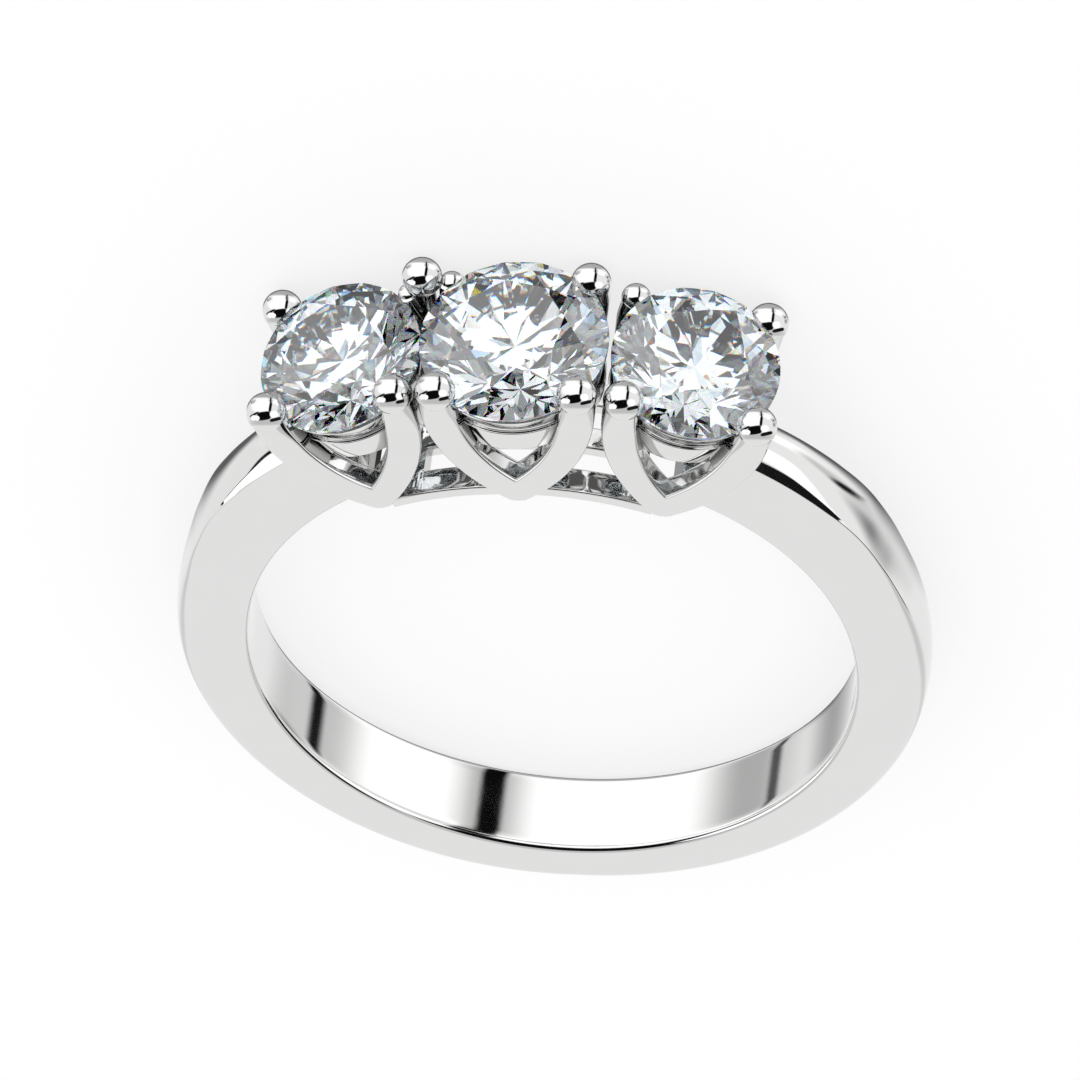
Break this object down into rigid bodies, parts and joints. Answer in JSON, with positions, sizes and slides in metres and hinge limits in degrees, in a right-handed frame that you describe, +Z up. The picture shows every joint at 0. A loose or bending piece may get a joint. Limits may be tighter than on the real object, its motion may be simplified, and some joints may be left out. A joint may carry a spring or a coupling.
{
  "type": "three stone ring",
  "caption": "Polished white metal ring with a row of round brilliant stones held by ball tipped prongs on open heart shaped heads.",
  "frame": {"origin": "centre of the footprint at floor height, with the ring lying on its side as it rests", "axes": "+X along the row of stones from left to right, +Y from the bottom of the band to the stones, +Z up through the finger hole"},
  "size_m": [0.0204, 0.0232, 0.0049],
  "materials": {
    "white_gold": "polished",
    "diamond": "polished"
  },
  "bodies": {
    "root": {"ring_body": "white_gold", "centre_stone": "diamond", "left_stone": "diamond", "right_stone": "diamond"}
  },
  "joints": []
}
